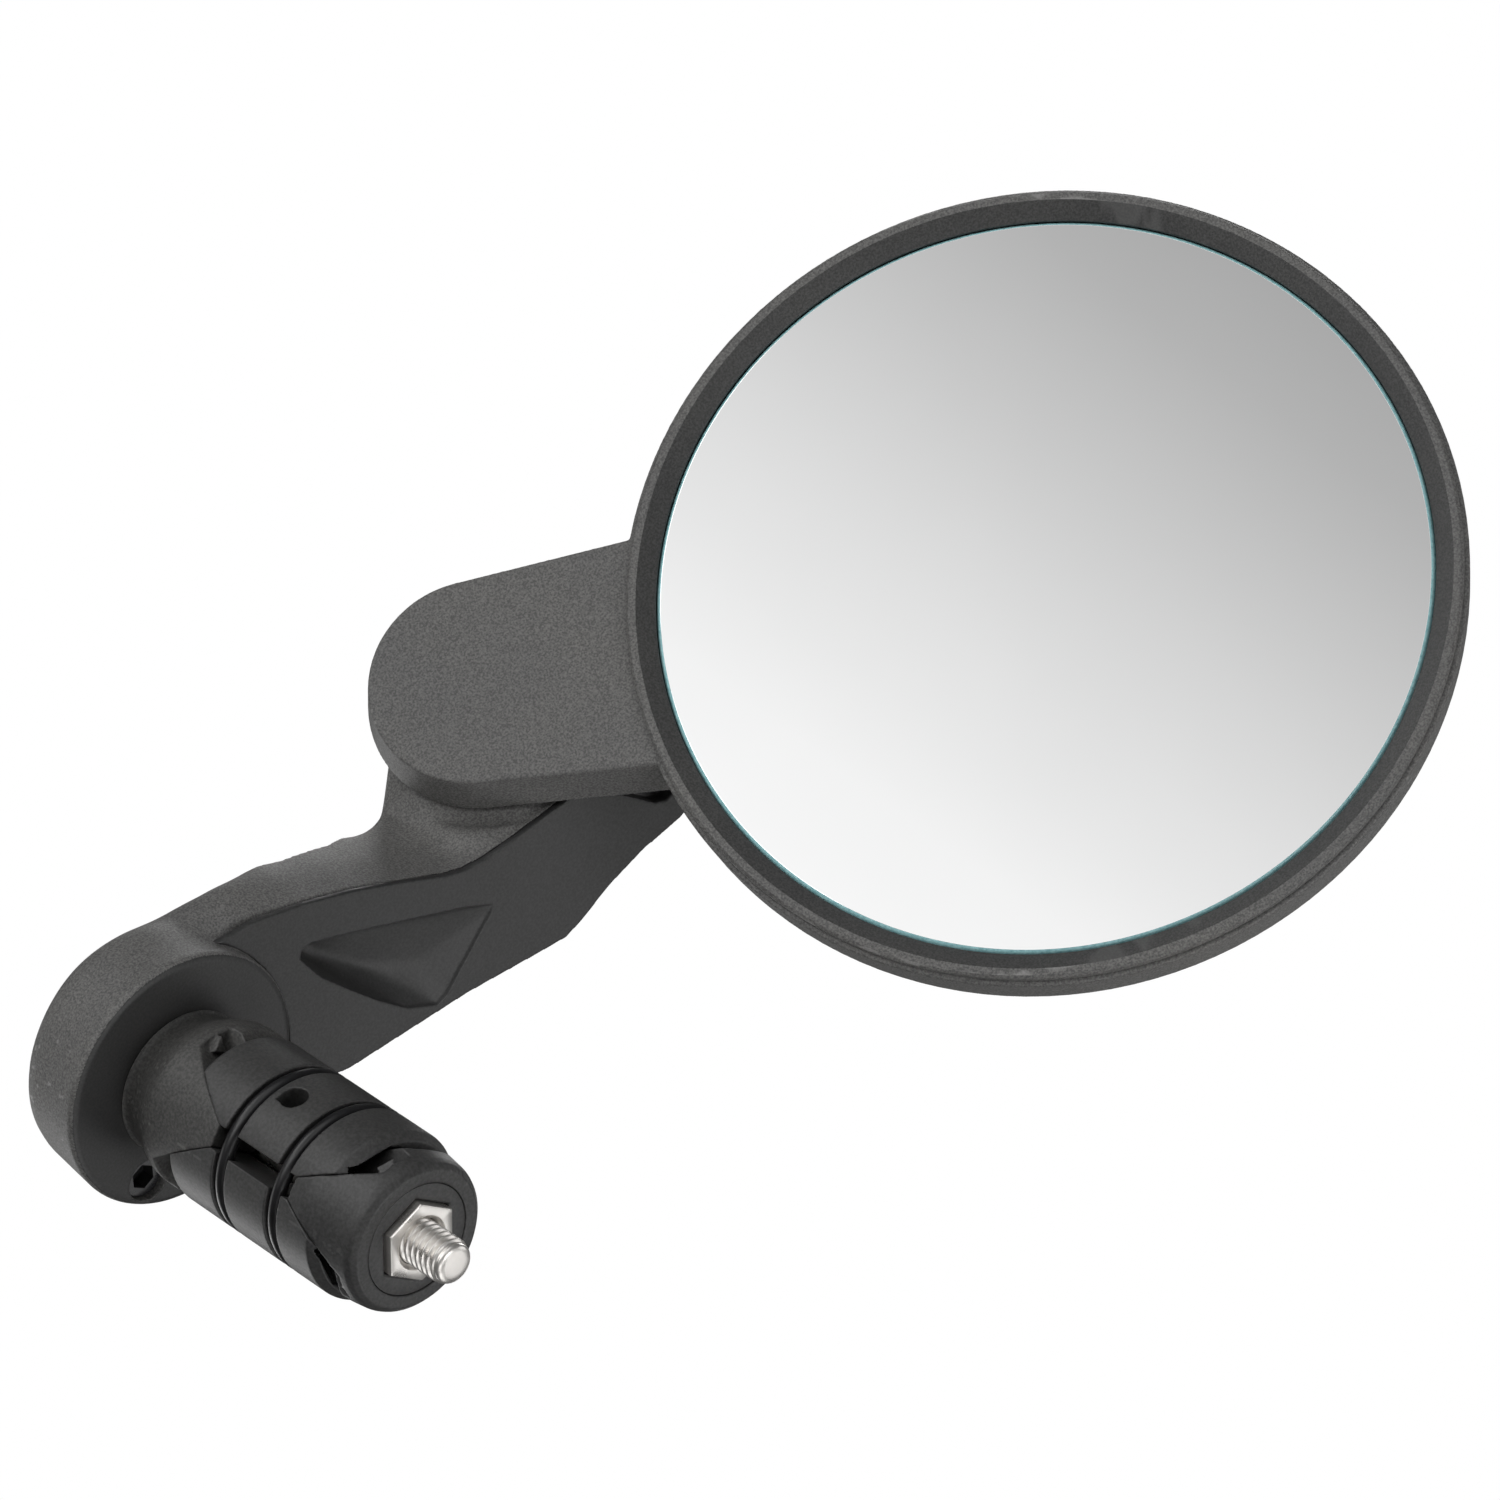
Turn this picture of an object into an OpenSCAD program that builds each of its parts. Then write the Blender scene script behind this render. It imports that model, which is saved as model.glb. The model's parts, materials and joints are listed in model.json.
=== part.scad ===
// Bar-end mirror: an expanding plug, a swinging arm and a swivelling round mirror head.
// The origin is the centre of the hub face that meets the end of the bar.
// +X runs along the plug into the bar, +Z is up, and the mirror looks towards -Y.

/* [Bar plug] */
// Outer diameter of the two plug segments at rest
plug_d = 18.6; // [18:0.1:19.4]
// Distance from the hub face to the blunt tip of the fixed wedge
rear_tip = 15.4; // [14.5:0.1:16]
// Distance from the hub face to the blunt tip of the moving wedge
front_tip = 27.6; // [27:0.1:28.5]
// Distance from the hub face to the face of the moving wedge
plug_length = 37.3; // [37:0.1:38.5]
// Slope of the wedge planes against the plug axis
wedge_angle = 30; // [28:0.5:32]
// Half of the gap between the two segments
half_gap = 1.2; // [1:0.1:1.4]
// Turn of the plug about its own axis, which places the split
plug_roll = 206; // [0:1:360]
// Thickness of the rubber rings
ring_d = 1.5; // [1.3:0.1:1.6]

/* [Expander bolt] */
// Shaft diameter of the bolt
bolt_d = 4.9; // [4.7:0.05:5]
// Distance from the hub face to the end of the bolt
bolt_end = 43.2; // [42:0.1:46]

/* [Hub and arm] */
// Diameter of the hub at its face
hub_d = 28; // [27:0.5:30]
// Depth of the hub
hub_depth = 10.2; // [10:0.1:11.5]
// Turn of the arm's front face about the vertical
face_turn = 7.1; // [5:0.1:9]

/* [Head] */
// Diameter of the glass
glass_d = 80; // [78:0.5:80]
// Outer diameter of the rim
rim_d = 87; // [86.6:0.1:88]
// Radius of the convex glass
glass_curve = 600; // [400:50:1200]
// Height of the side wall of the housing
wall_h = 5.2; // [5:0.1:5.3]
// Distance from the swivel axis to the centre of the glass
tongue_length = 59.3; // [58:0.1:62]
// Radius of the rounded end of the tongue
tongue_r = 11.1; // [10.8:0.1:11.5]
// Slope of the tongue in the mirror's plane
tongue_slope = 46.5; // [44:0.5:50]
// Turn of the mirror about the vertical
head_yaw = 20.5; // [18:0.5:23]

/* [Hidden] */
$fn = 96;

plug_r = plug_d / 2;
wedge_r = plug_r - 0.1;
bolt_r = bolt_d / 2;
bolt_hole_r = 2.75;
rise = tan(wedge_angle);
// the segments reach from rear_end to front_end, and slide back and out as the wedge is drawn in
rear_end = 9.2;
front_end = 32.6;
shoulder = 6.6;
key_half = 3.4;
key_h = 3.2;
fin_y = 5;
groove_z = [(rear_tip + front_tip) / 2 - 4.15, (rear_tip + front_tip) / 2 + 4.15];
ring_mid_r = plug_r - ring_d / 2;
nut_af = 8;
nut_z = [plug_length - 2.4, plug_length + 1.6];
insert_r = 6.1;

hub_r = hub_d / 2;
hub_back_r = 12.5;
stub_r = 6.5;
stub_depth = 2.1;
web_z = [-4.2, -2.7];
cap_recess_r = 6;
lock_pos = [5.65, -9.5];
cover_edge = 0.7;
cover_core = 4.6;

// the swivel axis meets the top of the tongue here
pivot_at = [-10.1, 6, 52];
lip = wall_h;
pad_top = -lip - 0.6;
pad_r = 10.6;
boss_back = -20;
pivot_bore_r = 2.03;
pivot_shank_r = 1.95;
pivot_recess_r = 4.6;
pivot_web = -13;

glass_r = glass_d / 2;
rim_r = rim_d / 2;
seat_r = rim_r - 1.2;
glass_t = 2;
glass_edge = -0.2;
// height of a sphere cap of radius glass_curve over the glass
bulge = glass_curve - sqrt(glass_curve * glass_curve - glass_r * glass_r);
taper = 4.45;

// ---- places ----

// local z runs along the plug, local y points at the split that faces the mirror's side
module along_plug() rotate([plug_roll, 0, 0]) rotate([0, 90, 0]) children();

// local z runs along +X, local x is -Z and local y is Y
module along_x() rotate([0, 90, 0]) children();

// local z is the mirror's normal and the origin is where the swivel axis meets the tongue
module at_pivot() translate(pivot_at) rotate([0, 0, head_yaw]) rotate([90, 0, 0]) children();

// the same, with local x pointing from the swivel axis at the centre of the glass
module on_tongue() at_pivot() rotate([0, 0, tongue_slope]) children();

module at_glass() on_tongue() translate([tongue_length, 0, 0]) children();

// an outline in plug length and height, extruded both ways along local y
module side_profile(width) rotate(a = 240, v = [1, 1, 1])
    linear_extrude(height = width, center = true) children();

module tube(r_out, r_in, z0, z1) difference() {
    translate([0, 0, z0]) cylinder(r = r_out, h = z1 - z0);
    translate([0, 0, z0 - 1]) cylinder(r = r_in, h = z1 - z0 + 2);
}

module rod(r, z0, z1) translate([0, 0, z0]) cylinder(r = r, h = z1 - z0);

module hex(af, z0, z1) translate([0, 0, z0]) cylinder(d = af / cos(30), h = z1 - z0, $fn = 6);

// ---- bar plug ----

// height of the fixed and the moving wedge planes over the split at a plug length z
function rear_plane(z) = half_gap + (rear_tip - z) * rise;
function front_plane(z) = half_gap + (z - front_tip) * rise;

// side outline of a wedge that ends in its blunt tip, grown by extra
module rear_outline(extra) polygon([
    [-5, -12], [shoulder, -12], [shoulder, -rear_plane(shoulder) - extra],
    [rear_tip, -half_gap - extra], [rear_tip, half_gap + extra],
    [shoulder, rear_plane(shoulder) + extra], [shoulder, 12], [-5, 12]]);

module front_outline(extra, back) polygon([
    [50, -12], [back, -12], [back, -front_plane(back) - extra],
    [front_tip, -half_gap - extra], [front_tip, half_gap + extra],
    [back, front_plane(back) + extra], [back, 12], [50, 12]]);

// small fins on the wedge planes that guide the segments, at these places across the plane
module guide_fins(z, height, lean, places) for (side = [0, 180]) rotate([0, 0, side])
    translate([height, 0, z]) rotate([0, lean, 0])
        for (y = places) translate([0, y, 0])
            linear_extrude(height = 1.7, center = true) polygon([[-1, -0.8], [0.8, 0], [-1, 0.8]]);

module post() color([0.24, 0.24, 0.24]) along_plug() difference() {
    union() {
        intersection() {
            rotate_extrude() polygon([
                [0, 0.06], [8, 0.06], [7.6, 0.3], [7.5, 0.8], [7.6, 1.6], [8, 2.8], [8.7, 4.2],
                [wedge_r - 0.1, 5.2], [wedge_r, 6], [wedge_r, rear_tip + 1], [0, rear_tip + 1]]);
            union() {
                side_profile(40) rear_outline(0);
                side_profile(2 * key_half) rear_outline(key_h);
            }
        }
        rod(stub_r, -stub_depth, 0.5);
        guide_fins(rear_end - 2.4, rear_plane(rear_end - 2.4) + 0.5, wedge_angle, [fin_y]);
    }
    rod(bolt_hole_r, -10, 30);
    // the key ends short of the tip, so that the segments close over it
    for (side = [-1, 1]) translate([side * (half_gap + 5), 0, rear_tip])
        cube([10, 3 * key_half, 3], center = true);
}

module end_wedge() color([0.2, 0.2, 0.2]) along_plug() difference() {
    union() {
        intersection() {
            rotate_extrude() polygon([
                [0, front_tip - 1], [wedge_r, front_tip - 1], [wedge_r, front_tip + 2],
                [8.35, plug_length - 1.2], [8.1, plug_length - 0.6], [7.5, plug_length],
                [0, plug_length]]);
            union() {
                side_profile(40) front_outline(0, front_end + 2.6);
                side_profile(2 * key_half) front_outline(key_h, front_end + 2.6);
            }
        }
        guide_fins(front_end + 2.4, front_plane(front_end + 2.4) + 0.5, -wedge_angle, [-fin_y, fin_y]);
    }
    rod(bolt_hole_r, 20, 40);
    rod(insert_r + 0.05, plug_length - 3.9, plug_length + 1);
    for (side = [-1, 1]) translate([side * (half_gap + 5), 0, front_tip])
        cube([10, 3 * key_half, 3], center = true);
}

// one half shell of the plug, in plug coordinates
module segment() difference() {
    union() {
        intersection() {
            rotate_extrude() polygon([
                [0, rear_end], [plug_r - 0.5, rear_end], [plug_r, rear_end + 0.6],
                [plug_r, front_end - 1.1], [plug_r - 0.8, front_end], [0, front_end]]);
            translate([half_gap, -20, 0]) cube([20, 40, 50]);
        }
        // tab that narrows the split beside the outer rubber ring
        intersection() {
            tube(plug_r, 6.6, 22.7, groove_z[1] - ring_d / 2);
            translate([0.3, 3.8, 0]) cube([2, 10, 50]);
        }
    }
    side_profile(40) offset_planes(0.05);
    side_profile(2 * key_half + 0.4) offset_planes(key_h + 0.25);
    rod(bolt_hole_r + 0.6, 0, 50);
    for (z = groove_z) tube(plug_r + 5, plug_r - ring_d - 0.15, z - 0.95, z + 0.95);
    // flared mouths of the guide channel
    for (y = [-1, 1]) mouth(front_end - 3.4, y);
    mouth(rear_end - 1, 1);
    // round hole through the wall with one square corner
    rotate([0, 0, 41.3]) translate([6, 0, 20.45]) rotate([0, 90, 0]) linear_extrude(height = 6) {
        circle(r = 1.45);
        square(1.35);
    }
}

// side outline of everything the wedges keep clear of a segment, grown by extra
module offset_planes(extra) polygon([
    [rear_end - 5, 0], [rear_end - 5, rear_plane(rear_end - 5) + extra],
    [rear_tip, half_gap + extra], [front_tip, half_gap + extra],
    [front_end + 5, front_plane(front_end + 5) + extra], [front_end + 5, 0]]);

module mouth(z, y) translate([0, 0, z]) linear_extrude(height = 4.4)
    polygon([[2, y * 3.4], [7.7, y * 3.4], [4.5, y * 7.6], [2, y * 7.6]]);

module segment_upper() color([0.17, 0.17, 0.17]) along_plug() segment();

module segment_lower() color([0.17, 0.17, 0.17]) along_plug() rotate([0, 0, 180]) segment();

module rubber_ring(z) along_plug() rotate_extrude() translate([ring_mid_r, z])
    circle(d = ring_d, $fn = 48);

module oring_inner() color([0.1, 0.1, 0.1]) rubber_ring(groove_z[0]);

module oring_outer() color([0.1, 0.1, 0.1]) rubber_ring(groove_z[1]);

module end_insert() color([0.2, 0.2, 0.2]) along_plug() difference() {
    rod(insert_r, plug_length - 3.8, plug_length - 0.1);
    rod(bolt_hole_r, 0, 60);
    hex(nut_af + 0.15, nut_z[0] - 0.02, 60);
}

module hex_nut() color([0.78, 0.76, 0.72]) along_plug() intersection() {
    difference() {
        hex(nut_af, nut_z[0], nut_z[1]);
        rod(bolt_r + 0.07, 0, 60);
    }
    // 30 degree chamfers on the corners
    rotate_extrude() polygon([
        [0, nut_z[0]], [nut_af / 2 - 0.1, nut_z[0]], [nut_af / 2 + 0.7, nut_z[0] + 0.45],
        [nut_af / 2 + 0.7, nut_z[1] - 0.45], [nut_af / 2 - 0.1, nut_z[1]], [0, nut_z[1]]]);
}

module expander_bolt() color([0.8, 0.78, 0.75]) along_plug() difference() {
    rotate_extrude() polygon([
        [0, -8.75], [3.95, -8.75], [4.25, -8.4], [4.25, -5.25], [bolt_r, -5.25],
        [bolt_r, bolt_end - 0.9], [bolt_r - 0.8, bolt_end], [0, bolt_end]]);
    hex(4, -9, -6.4);
}

// ---- hub ----

module bolt_washer() color([0.7, 0.7, 0.68]) along_x() tube(5.6, 2.75, -5.2, web_z[0]);

module friction_ring() color([0.55, 0.5, 0.4]) along_x()
    tube(stub_r - 0.2, 3, web_z[1], -stub_depth - 0.05);

module hub_cap() color([0.15, 0.15, 0.15]) along_x() union() {
    rod(cap_recess_r - 0.05, -hub_depth, -hub_depth + 1.2);
    tube(cap_recess_r - 0.05, cap_recess_r - 0.9, -hub_depth + 1, -hub_depth + 1.7);
}

// ---- arm ----

function arc(r, a0, a1, n) = [for (i = [0:n]) r * [cos(a0 + (a1 - a0) * i / n), sin(a0 + (a1 - a0) * i / n)]];

// outline of the arm seen along the plug, in Y and Z: round the hub, up the front edge,
// over the top behind the head and down the edge that the tongue sits on
arm_outline = concat(
    arc(hub_back_r - 1.2, 150, 376, 24),
    [[17.5, 13.3], [23.2, 27.5], [27.4, 36.2], [28.7, 39], [28.9, 41.5], [28.7, 46], [29.2, 51.5],
     [30.3, 56.5], [30.2, 59], [28.6, 61.3], [26, 62.3], [17.5, 62.3], [17.2, 50], [16.2, 46.8],
     [14.9, 42.4], [13.5, 38.4], [12.4, 36.2], [11, 34.4], [6.3, 29.9], [2.5, 26], [-1.3, 21.5],
     [-4.9, 16.4]]);

module extrude_x(x0, x1) translate([x0, 0, 0]) rotate([90, 0, 90])
    linear_extrude(height = x1 - x0) children();

// everything in front of a plane that lies back mm behind the arm's turned front face
module before_face(back) translate([0, 12, -30]) rotate([0, 0, -face_turn])
    translate([-back, -60, 0]) cube([30, 120, 120]);

// everything behind the arm's back face, which leans outwards as it rises
module behind_back() extrude_y(80) polygon([
    [-hub_depth, -30], [-hub_depth, 9], [-9.4, 15], [-9.4, 24], [-10.4, 29], [-13.4, 34.4], [-15.2, 37],
    [-15.2, 80], [-50, 80], [-50, -30]]);

module extrude_y(width) translate([0, 50, 0]) rotate([90, 0, 0]) linear_extrude(height = width) children();

// rim of the three-sided hollow, in the turned face
pocket_rim = [
    [-9.6, 18.2], [-8.9, 17.4], [-5.3, 17.7], [-1.4, 18.9], [2.6, 20.3], [6.3, 21.9], [9.1, 24.4],
    [9.2, 25.8], [7.1, 30.6], [6.6, 35.2], [6.2, 35.7], [3.7, 33.5], [-0.5, 29], [-3.9, 24.9],
    [-7.3, 21.6], [-9.3, 19.2]];

// hollow in the front face: deep at the hub end, rising to the far edge
module front_pocket() translate([0, 12, 0]) rotate([0, 0, -face_turn]) hull() {
    extrude_x(-0.2, 1) polygon(pocket_rim);
    translate([-3, -8.3, 18.7]) sphere(r = 0.7, $fn = 16);
    translate([-3, -5.2, 19.6]) sphere(r = 0.9, $fn = 16);
    translate([-2.2, 0, 22]) sphere(r = 0.9, $fn = 16);
    translate([-1.3, 4.4, 26]) sphere(r = 0.7, $fn = 16);
}

// second hollow under the tongue
module top_pocket() extrude_x(0.3, 4) polygon([
    [18.2, 51.6], [26.2, 55.5], [27.2, 56.6], [27.3, 59.2], [20, 58.5]]);

// outline of the thick middle of the front plate
core_outline = [
    [-3.5, 15.3], [0, 15], [4, 14.6], [8, 13.6], [12, 12.6], [15.8, 14], [21.5, 28.2], [25.8, 36.8],
    [26.9, 39.3], [27.1, 41.6], [26.9, 46], [27.4, 51.6], [28.4, 56.8], [28.2, 59], [26, 60.4],
    [19.2, 60.4], [19, 50], [18, 46.4], [16.8, 42], [15.6, 37.6], [12.3, 33.1], [3.9, 24.9]];

// the thick middle of the front plate, grown by gap
module cover_middle(gap) intersection() {
    extrude_x(-8, 4) offset(delta = gap) polygon(core_outline);
    before_face(cover_core + gap);
}

module arm() color([0.3, 0.3, 0.3]) difference() {
    union() {
        difference() {
            extrude_x(-16, 4) polygon(arm_outline);
            before_face(cover_edge + 0.08);
            behind_back();
        }
        along_x() rotate_extrude() polygon([
            [0, -hub_depth], [hub_back_r - 1.7, -hub_depth], [hub_back_r - 0.6, -hub_depth + 0.4],
            [hub_back_r + 0.3, -hub_depth + 1.5], [hub_back_r + 0.7, -hub_depth + 2.8],
            [hub_r, -0.7], [hub_r - 0.2, -0.2], [hub_r - 0.7, 0], [0, 0]]);
        at_pivot() rod(pad_r, boss_back, pad_top + 0.5);
        // neck from the slab up to the round pad
        hull() {
            at_pivot() rod(pad_r - 1, boss_back + 2, pad_top - 0.4, $fn = 48);
            extrude_x(-14.9, -1) polygon([[13.4, 36.6], [15, 42.6], [24, 44], [24, 36], [15.5, 34.6]]);
        }
    }
    // hub: stub bore, bolt hole and cap recess
    along_x() {
        rod(stub_r + 0.08, web_z[1], 5);
        rod(bolt_hole_r, -20, 5);
        rod(cap_recess_r, -hub_depth - 5, web_z[0]);
        translate([-lock_pos[1], lock_pos[0], 0]) {
            rod(2.35, -3.2, 1);
            rod(1.95, -8.4, -3.2);
        }
    }
    at_pivot() {
        rod(pivot_bore_r, -40, 0);
        rod(pivot_recess_r, -40, pivot_web);
        // flat pad under the tongue, with room for its flared side walls
        rod(tongue_r + 3.1, pad_top, 12);
    }
    cover_middle(0.08);
    pin_holes();
}

module arm_cover() color([0.15, 0.15, 0.15]) difference() {
    union() {
        intersection() {
            extrude_x(-8, 4) polygon(arm_outline);
            before_face(cover_edge);
        }
        cover_middle(0);
    }
    before_face(0);
    along_x() rod(hub_r + 0.05, -20, 20);
    front_pocket();
    top_pocket();
    pin_holes();
}

pin_spots = [[3.5, 16.4, -7.6], [24, 46, -5]];

module pin_holes() for (p = pin_spots) along_x() translate([-p[1], p[0], p[2]]) rod(0.9, 0, 4.2);

module cover_pins() color([0.6, 0.6, 0.6]) for (p = pin_spots)
    along_x() translate([-p[1], p[0], p[2]]) rod(0.85, 0.1, 4.1);

module lock_screw() color([0.12, 0.12, 0.12]) along_x() translate([-lock_pos[1], lock_pos[0], 0])
    difference() {
        union() {
            rod(2.2, -3.15, -0.9);
            rod(1.2, -8, -3.15);
        }
        hex(2.5, -2.6, 0);
    }

module lock_insert() color([0.72, 0.6, 0.3]) along_x() translate([-lock_pos[1], lock_pos[0], 0])
    tube(1.9, 1.25, -8.4, -3.2);

// ---- swivel ----

module pivot_screw() color([0.7, 0.7, 0.68]) at_pivot() difference() {
    union() {
        rod(pivot_shank_r, -15, -2.2);
        rod(3.5, -17.4, -14.7);
    }
    hex(3, -18, -15.6);
}

module pivot_washer() color([0.72, 0.72, 0.7]) at_pivot() tube(4.4, 2.15, -14.65, -14);

module wave_washer() color([0.6, 0.6, 0.6]) at_pivot() tube(4.2, 2.3, -13.95, pivot_web - 0.02);

module pivot_cap() color([0.15, 0.15, 0.15]) at_pivot() rod(pivot_recess_r - 0.05, boss_back, -18.8);

module pivot_nut() color([0.7, 0.7, 0.68]) at_pivot() difference() {
    hex(7, -5, -1.9);
    rod(pivot_shank_r + 0.05, -10, 5);
}

module swivel_disc() color([0.85, 0.85, 0.8]) at_pivot() tube(6.5, 2.15, pad_top + 0.05, -lip - 0.05);

// ---- mirror head ----

// tongue with flared side walls, inset by wall and from z0 to z1
module tongue_body(wall, z0, z1) hull() {
    translate([0, 0, z0]) cylinder(r1 = tongue_r - wall + flare(z0), r2 = tongue_r - wall + flare(z1),
        h = z1 - z0, $fn = 64);
    for (z = [z0, z1 - 0.01]) translate([0, 0, z]) linear_extrude(height = 0.01) {
        half = tongue_r - wall + flare(z) + 22 * tan(taper);
        polygon([[0, -1], [22, -half], [22, half], [0, 1]]);
    }
}

// how far the side walls stand out at a height z below the tongue's top
function flare(z) = -z * 1.05 / wall_h;

function dome(r, depth, z) = [for (i = [0:12]) let (x = r * (1 - i / 12)) [x, z - depth * (1 - pow(x / r, 2.6))]];

module mirror_housing() color([0.32, 0.32, 0.32]) difference() {
    union() {
        on_tongue() tongue_body(0, -lip, 0);
        at_glass() rotate_extrude($fn = 128) polygon(concat(
            [[0, 0], [rim_r - 0.15, 0], [rim_r, -0.2], [rim_r - 0.4, -lip + 0.7], [rim_r - 1, -lip]],
            dome(rim_r - 2, 4.6, -lip - 0.4)));
    }
    at_glass() {
        rod(seat_r, -3.6, 5);
        rotate_extrude($fn = 128) polygon(concat([[0, 0]], [[seat_r - 1.6, 0]], dome(seat_r - 1.6, 4.4, -4.2)));
    }
    on_tongue() intersection() {
        difference() {
            tongue_body(1.5, -lip - 1, -1.8);
            rod(5.8, -20, 5);
        }
        difference() {
            translate([-20, -20, -20]) cube([80, 40, 40]);
            translate([tongue_length, 0, 0]) rod(rim_r + 0.2, -20, 20);
        }
    }
    at_pivot() {
        rod(2.1, -20, -1.8);
        hex(7.1, -20, -1.85);
    }
}

module bezel_ring() color([0.34, 0.34, 0.34]) at_glass() rotate_extrude($fn = 128) polygon([
    [glass_r + 0.12, -0.15], [glass_r + 1.9, 1], [rim_r - 0.65, 1], [rim_r - 0.45, 0.8],
    [rim_r - 0.45, 0.03], [seat_r - 0.08, 0.03], [seat_r - 0.08, -2], [seat_r - 1, -2],
    [seat_r - 1, -0.6], [glass_r + 0.12, -0.6]]);

// a lens slice between two heights at its edge, bulging like the glass
module lens(r, top, bottom) intersection() {
    rod(r, bottom - 1, top + 4);
    ball(top);
}

// the ball whose surface passes through the edge of the glass at a height z
module ball(z) translate([0, 0, z - glass_curve + bulge]) sphere(r = glass_curve, $fn = 360);

module mirror_glass() color([0.75, 0.78, 0.8]) at_glass() difference() {
    lens(glass_r, glass_edge, glass_edge - glass_t);
    ball(glass_edge - glass_t);
}

module silver_coat() color([0.85, 0.85, 0.86]) at_glass() difference() {
    lens(glass_r - 0.3, glass_edge - glass_t - 0.01, glass_edge - glass_t - 1);
    ball(glass_edge - glass_t - 0.11);
}

// height at a radius r of the ball whose surface passes through the glass edge at a height z
function ball_z(r, z) = z + bulge - glass_curve + sqrt(glass_curve * glass_curve - r * r);

module foam_pad() color([0.2, 0.2, 0.22]) at_glass() rotate_extrude($fn = 128) polygon(concat(
    [[0, -3], [glass_r - 1, -3]],
    [for (i = [0:8]) let (r = (glass_r - 1) * (1 - i / 8)) [r, ball_z(r, glass_edge - glass_t - 0.12)]]));

module backing_plate() color([0.2, 0.2, 0.2]) at_glass() rod(seat_r - 0.1, -3.58, -3.02);

post();
segment_upper();
segment_lower();
oring_inner();
oring_outer();
end_wedge();
end_insert();
hex_nut();
expander_bolt();
bolt_washer();
friction_ring();
hub_cap();
arm();
arm_cover();
cover_pins();
lock_screw();
lock_insert();
pivot_screw();
pivot_washer();
wave_washer();
pivot_cap();
pivot_nut();
swivel_disc();
mirror_housing();
bezel_ring();
mirror_glass();
silver_coat();
foam_pad();
backing_plate();
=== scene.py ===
"""Looks of the bar-end mirror over its CAD frame: moulded edges, grain, threads and mirror glass."""

import json
import math

import bmesh
import bpy
import numpy as np
from mathutils import Matrix, Vector

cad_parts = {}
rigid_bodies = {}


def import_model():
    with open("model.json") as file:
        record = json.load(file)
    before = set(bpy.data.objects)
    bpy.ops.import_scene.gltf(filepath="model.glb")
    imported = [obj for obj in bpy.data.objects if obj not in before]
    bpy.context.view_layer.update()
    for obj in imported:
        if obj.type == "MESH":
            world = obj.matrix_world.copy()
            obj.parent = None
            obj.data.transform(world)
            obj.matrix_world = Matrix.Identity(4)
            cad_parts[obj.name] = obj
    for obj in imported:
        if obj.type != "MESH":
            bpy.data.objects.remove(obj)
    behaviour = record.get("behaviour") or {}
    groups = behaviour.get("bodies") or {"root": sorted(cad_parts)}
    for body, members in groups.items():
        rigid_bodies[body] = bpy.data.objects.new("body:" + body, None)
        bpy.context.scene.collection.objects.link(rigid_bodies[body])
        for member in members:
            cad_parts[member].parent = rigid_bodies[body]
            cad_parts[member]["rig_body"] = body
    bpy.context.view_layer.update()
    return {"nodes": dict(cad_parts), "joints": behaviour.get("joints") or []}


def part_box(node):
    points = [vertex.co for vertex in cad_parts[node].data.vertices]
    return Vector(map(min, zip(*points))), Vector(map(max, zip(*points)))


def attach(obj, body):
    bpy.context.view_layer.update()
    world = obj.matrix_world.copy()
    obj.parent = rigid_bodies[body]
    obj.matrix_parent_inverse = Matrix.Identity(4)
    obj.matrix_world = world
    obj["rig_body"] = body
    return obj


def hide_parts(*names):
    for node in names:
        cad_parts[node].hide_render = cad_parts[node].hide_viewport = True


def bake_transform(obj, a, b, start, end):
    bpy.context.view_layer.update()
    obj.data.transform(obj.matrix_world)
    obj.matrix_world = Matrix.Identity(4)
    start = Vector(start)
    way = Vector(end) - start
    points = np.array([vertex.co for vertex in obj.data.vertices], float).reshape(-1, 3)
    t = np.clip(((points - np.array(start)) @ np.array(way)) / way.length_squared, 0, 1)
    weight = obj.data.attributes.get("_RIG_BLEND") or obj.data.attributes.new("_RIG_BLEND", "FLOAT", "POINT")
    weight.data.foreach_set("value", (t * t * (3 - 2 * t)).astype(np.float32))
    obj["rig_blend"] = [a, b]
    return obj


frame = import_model()

MM = 0.001
NODES = frame["nodes"]
JOINTS = {joint["name"]: joint for joint in frame["joints"]}

# ---- places, worked out from the frame, in metres ----

HEAD_AXIS = Vector(JOINTS["head_swivel"]["axis"]).normalized()
PIVOT = Vector(JOINTS["head_swivel"]["pos_m"])
SPLIT_UP = -Vector(JOINTS["lower_spread"]["axis"]).normalized()
PLUG_AXIS = Vector((1, 0, 0))


def place(origin, z_axis, x_axis):
    """Matrix of a local frame, in metres, whose numbers are given in millimetres."""
    x_axis = (x_axis - x_axis.project(z_axis)).normalized()
    y_axis = z_axis.cross(x_axis)
    turn = Matrix((x_axis, y_axis, z_axis)).transposed().to_4x4()
    return Matrix.Translation(origin) @ turn @ Matrix.Scale(MM, 4)


to_glass = sum(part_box("mirror_glass"), Vector()) / 2 - PIVOT
TONGUE_DIR = (to_glass - to_glass.project(HEAD_AXIS)).normalized()
PIVOT_TO_GLASS = 0.0593  # along the tongue, to the middle of the glass
AT_GLASS = place(PIVOT + TONGUE_DIR * PIVOT_TO_GLASS, HEAD_AXIS, TONGUE_DIR)
ON_PLUG = place(Vector((0, 0, 0)), PLUG_AXIS, SPLIT_UP)

# ---- sizes, in mm ----

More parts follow.
